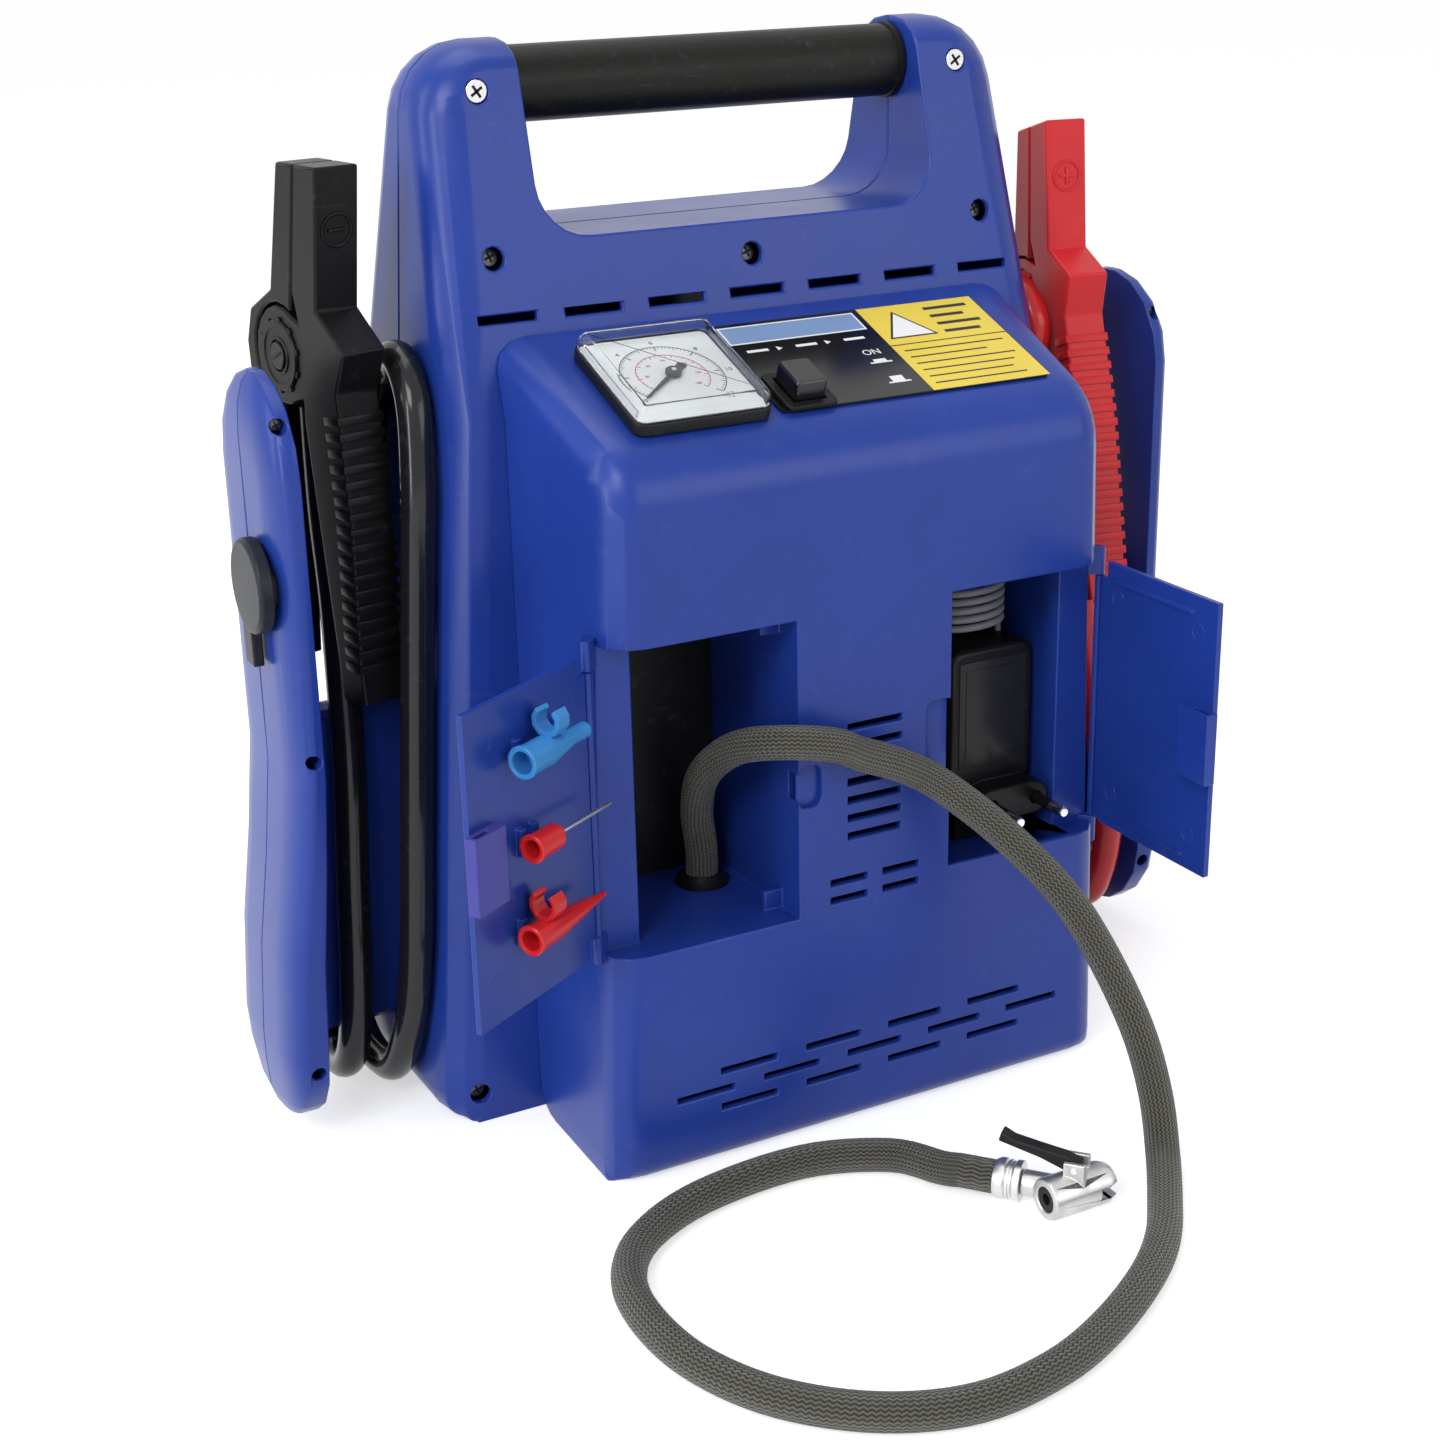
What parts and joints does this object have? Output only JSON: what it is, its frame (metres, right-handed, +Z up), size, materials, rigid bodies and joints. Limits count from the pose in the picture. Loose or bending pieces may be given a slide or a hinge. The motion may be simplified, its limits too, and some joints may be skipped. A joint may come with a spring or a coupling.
{
  "type": "vehicle jump starter pack",
  "caption": "Upright portable jump starter and tyre inflator pack with carry handle, clamp leads on side spools, gauge, two small doors and an air hose.",
  "frame": {"origin": "centre of the upright pack's footprint, on the floor that its moulded base stands on", "axes": "+Z up, +Y from the front of the service box to the back of the pack, +X to the right seen from the front"},
  "size_m": [0.3693, 0.3235, 0.366],
  "materials": {
    "air_hose": "braided sleeve",
    "battery": "fine texture",
    "black_front_arm": "fine texture",
    "black_front_jaw": "copper coloured, satin",
    "black_lead": "smooth",
    "black_pivot": "fine texture",
    "black_rear_arm": "fine texture",
    "black_rear_jaw": "copper coloured, satin",
    "black_spring": "satin",
    "charge_board": "fine texture",
    "charger_body": "fine texture",
    "charger_plug": "fine texture",
    "chuck_body": "polished",
    "chuck_lever": "fine texture",
    "compressor_cylinder": "fine texture",
    "compressor_frame": "satin",
    "compressor_motor": "satin",
    "cone_adaptor": "glossy",
    "drive_gear": "fine texture",
    "gauge_base": "fine texture",
    "gauge_cover": "clear",
    "gauge_dial": "fine texture",
    "gauge_needle": "fine texture",
    "handle_grip": "smooth",
    "handle_tube": "satin",
    "hose_ferrule": "polished",
    "inflation_needle": "satin",
    "label_plate": "glossy",
    "lead_hank": "smooth",
    "left_door": "glossy",
    "left_handle_screw": "polished",
    "left_plug_pin": "polished",
    "left_spool": "glossy",
    "left_wing_front": "glossy",
    "left_wing_rear": "glossy",
    "motor_pinion": "satin",
    "needle_adaptor": "glossy",
    "plain_shell": "glossy",
    "push_button": "glossy",
    "red_front_arm": "glossy",
    "red_front_jaw": "copper coloured, satin",
    "red_lead": "smooth",
    "red_pivot": "fine texture",
    "red_rear_arm": "glossy",
    "red_rear_jaw": "copper coloured, satin",
    "red_spring": "satin",
    "right_door": "glossy",
    "right_handle_screw": "polished",
    "right_plug_pin": "polished",
    "right_spool": "glossy",
    "right_wing_front": "glossy",
    "right_wing_rear": "glossy",
    "service_box": "glossy",
    "service_shell": "glossy",
    "socket_body": "fine texture",
    "socket_cap": "smooth",
    "switch_bezel": "fine texture",
    "tube_adaptor": "glossy"
  },
  "bodies": {
    "pack": {"air_hose": "air_hose", "battery": "battery", "black_front_arm": "black_front_arm", "black_front_jaw": "black_front_jaw", "black_lead": "black_lead", "black_pivot": "black_pivot", "black_spring": "black_spring", "charge_board": "charge_board", "charger_body": "charger_body", "charger_plug": "charger_plug", "chuck_body": "chuck_body", "compressor_cylinder": "compressor_cylinder", "compressor_frame": "compressor_frame", "compressor_motor": "compressor_motor", "gauge_base": "gauge_base", "gauge_cover": "gauge_cover", "gauge_dial": "gauge_dial", "handle_grip": "handle_grip", "handle_tube": "handle_tube", "hose_ferrule": "hose_ferrule", "label_plate": "label_plate", "lead_hank": "lead_hank", "left_handle_screw": "left_handle_screw", "left_plug_pin": "left_plug_pin", "left_spool": "left_spool", "left_wing_front": "left_wing_front", "left_wing_rear": "left_wing_rear", "plain_shell": "plain_shell", "red_front_arm": "red_front_arm", "red_front_jaw": "red_front_jaw", "red_lead": "red_lead", "red_pivot": "red_pivot", "red_spring": "red_spring", "right_handle_screw": "right_handle_screw", "right_plug_pin": "right_plug_pin", "right_spool": "right_spool", "right_wing_front": "right_wing_front", "right_wing_rear": "right_wing_rear", "service_box": "service_box", "service_shell": "service_shell", "socket_body": "socket_body", "switch_bezel": "switch_bezel"},
    "left_door": {"left_door": "left_door", "tube_adaptor": "tube_adaptor", "needle_adaptor": "needle_adaptor", "inflation_needle": "inflation_needle", "cone_adaptor": "cone_adaptor"},
    "right_door": {"right_door": "right_door"},
    "black_back_arm": {"black_rear_arm": "black_rear_arm", "black_rear_jaw": "black_rear_jaw"},
    "red_back_arm": {"red_rear_arm": "red_rear_arm", "red_rear_jaw": "red_rear_jaw"},
    "button": {"push_button": "push_button"},
    "pointer": {"gauge_needle": "gauge_needle"},
    "cap": {"socket_cap": "socket_cap"},
    "lever": {"chuck_lever": "chuck_lever"},
    "gear": {"drive_gear": "drive_gear"},
    "pinion": {"motor_pinion": "motor_pinion"}
  },
  "joints": [
    {"name": "left_door_hinge", "type": "hinge", "parent": "pack", "child": "left_door", "pos_m": [-0.0992, -0.06925, 0], "axis": [0, 0, 1], "range_deg": [-20, 72]},
    {"name": "right_door_hinge", "type": "hinge", "parent": "pack", "child": "right_door", "pos_m": [0.0992, -0.06925, 0], "axis": [0, 0, 1], "range_deg": [-51, 80]},
    {"name": "black_clamp_hinge", "type": "hinge", "parent": "pack", "child": "black_back_arm", "pos_m": [-0.14528, 0.04503, 0.2687], "axis": [-0.9842, -0.1771, 0], "range_deg": [0, 11], "stiffness_Nm_per_rad": 1.5, "springref_deg": -8.59},
    {"name": "red_clamp_hinge", "type": "hinge", "parent": "pack", "child": "red_back_arm", "pos_m": [0.14241, 0.02911, 0.25881], "axis": [-0.9842, 0.1771, 0], "range_deg": [0, 5], "stiffness_Nm_per_rad": 1.5, "springref_deg": -8.59},
    {"name": "button_slide", "type": "slide", "parent": "pack", "child": "button", "axis": [0, 0.3584, -0.9336], "range_m": [0, 0.003], "stiffness_N_per_m": 300, "springref_m": -0.002},
    {"name": "pointer_hinge", "type": "hinge", "parent": "pack", "child": "pointer", "pos_m": [-0.054, -0.04412, 0.26149], "axis": [0, 0.3584, -0.9336], "range_deg": [0, 265], "stiffness_Nm_per_rad": 0.0002},
    {"name": "cap_hinge", "type": "hinge", "parent": "pack", "child": "cap", "pos_m": [-0.1764, 0.0085, 0.2193], "axis": [0, 1, 0], "range_deg": [0, 85]},
    {"name": "lever_hinge", "type": "hinge", "parent": "pack", "child": "lever", "pos_m": [0.02588, -0.16365, 0.0168], "axis": [0.766, 0.6428, 0], "range_deg": [0, 60]},
    {"name": "gear_spin", "type": "hinge", "parent": "pack", "child": "gear", "pos_m": [0.016, 0.03335, 0.2179], "axis": [1, 0, 0], "continuous": true},
    {"name": "pinion_spin", "type": "hinge", "parent": "pack", "child": "pinion", "pos_m": [0.016, 0.03335, 0.1879], "axis": [1, 0, 0], "continuous": true}
  ],
  "couplings": [
    {"joint": "pinion_spin", "follows": "gear_spin", "ratio": -3}
  ]
}
